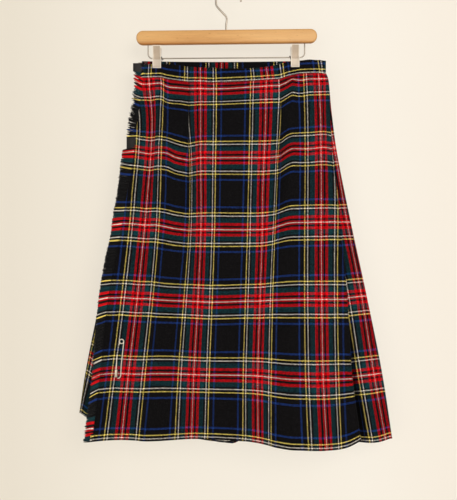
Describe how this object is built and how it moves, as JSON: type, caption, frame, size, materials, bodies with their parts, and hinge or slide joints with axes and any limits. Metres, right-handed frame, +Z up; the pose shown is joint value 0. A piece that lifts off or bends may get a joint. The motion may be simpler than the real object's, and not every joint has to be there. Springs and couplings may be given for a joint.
{
  "type": "kilt on a wooden clip hanger",
  "caption": "Knee-length pleated tartan kilt with a fringed front apron, leather side straps and a kilt pin, hung by its waistband from a wooden bar hanger with metal clips.",
  "frame": {"origin": "inside of the hook's crown, where the hanger rests on a rail", "axes": "+Z up, +Y towards the wall behind the hanger, +X to the right seen from the front apron"},
  "size_m": [0.6293, 0.1016, 0.9239],
  "materials": {
    "tartan_wool": "worsted wool twill in a red, black, green, blue, white and yellow tartan",
    "tartan_band": "the same wool twill, doubled and pressed",
    "fringe_yarn": "loose wool yarn ends",
    "strap_leather": "dark grey grained leather",
    "nickel_wire": "nickel plated steel, slightly dulled",
    "spring_steel": "blackened spring steel",
    "beech_wood": "honey coloured beech, satin lacquer"
  },
  "bodies": {
    "root": {"over_apron": "tartan_wool", "side_pleat": "tartan_wool", "back_pleats_right": "tartan_wool", "back_pleats_middle": "tartan_wool", "back_pleats_left": "tartan_wool", "under_apron": "tartan_wool", "waistband": "tartan_band", "fringe_upper": "fringe_yarn", "fringe_lower": "fringe_yarn", "strap_upper": "strap_leather", "strap_lower": "strap_leather", "chape_upper": "strap_leather", "chape_lower": "strap_leather", "buckle_upper": "nickel_wire", "buckle_lower": "nickel_wire", "prong_upper": "nickel_wire", "prong_lower": "nickel_wire", "kilt_pin": "nickel_wire", "kilt_pin_clasp": "nickel_wire", "hanger_hook": "nickel_wire", "hanger_rod": "nickel_wire", "clip_left_front": "nickel_wire", "clip_left_back": "nickel_wire", "clip_right_front": "nickel_wire", "clip_right_back": "nickel_wire", "clip_left_spring": "spring_steel", "clip_right_spring": "spring_steel", "hanger_bar": "beech_wood"}
  },
  "joints": []
}
